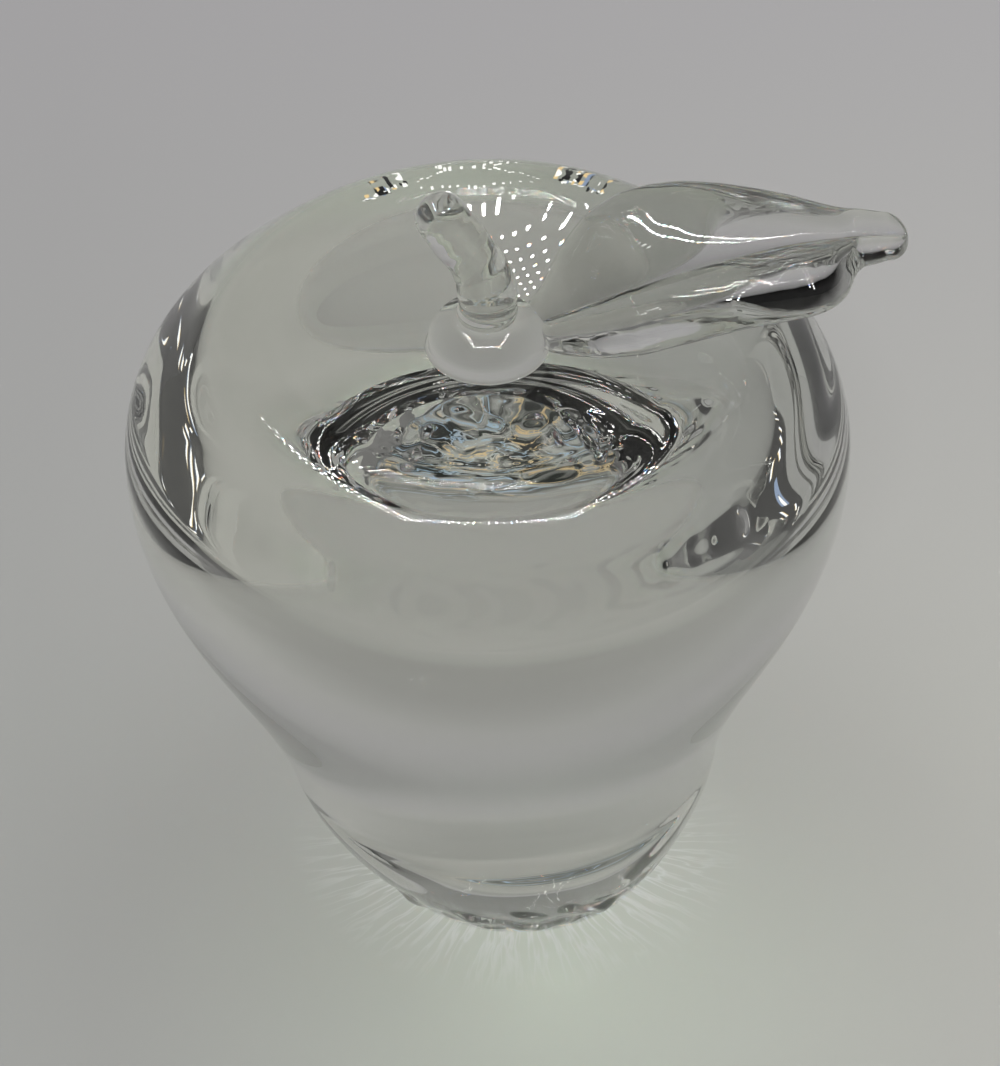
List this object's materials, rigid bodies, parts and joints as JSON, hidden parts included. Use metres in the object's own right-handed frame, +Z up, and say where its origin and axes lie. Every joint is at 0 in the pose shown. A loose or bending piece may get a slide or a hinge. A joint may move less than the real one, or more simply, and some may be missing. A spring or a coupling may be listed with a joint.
{
  "type": "glass apple paperweight",
  "caption": "Solid clear glass apple with broad shoulders, a shallow dished top, a tapered foot with a flat ground base, a curved stem on a round pad and a thick creased leaf.",
  "frame": {"origin": "centre of the flat ground base, on the surface the apple stands on", "axes": "+Z up; +X the way the leaf points, to the right in the picture; -Y towards the viewer"},
  "size_m": [0.0876, 0.082, 0.0981],
  "materials": {
    "body_glass": "clear, fire-polished, ground and polished base",
    "applied_glass": "clear, fire-polished, hot-applied"
  },
  "bodies": {
    "root": {"apple_body": "body_glass", "stem_pad": "applied_glass", "stem": "applied_glass", "leaf": "applied_glass"}
  },
  "joints": []
}
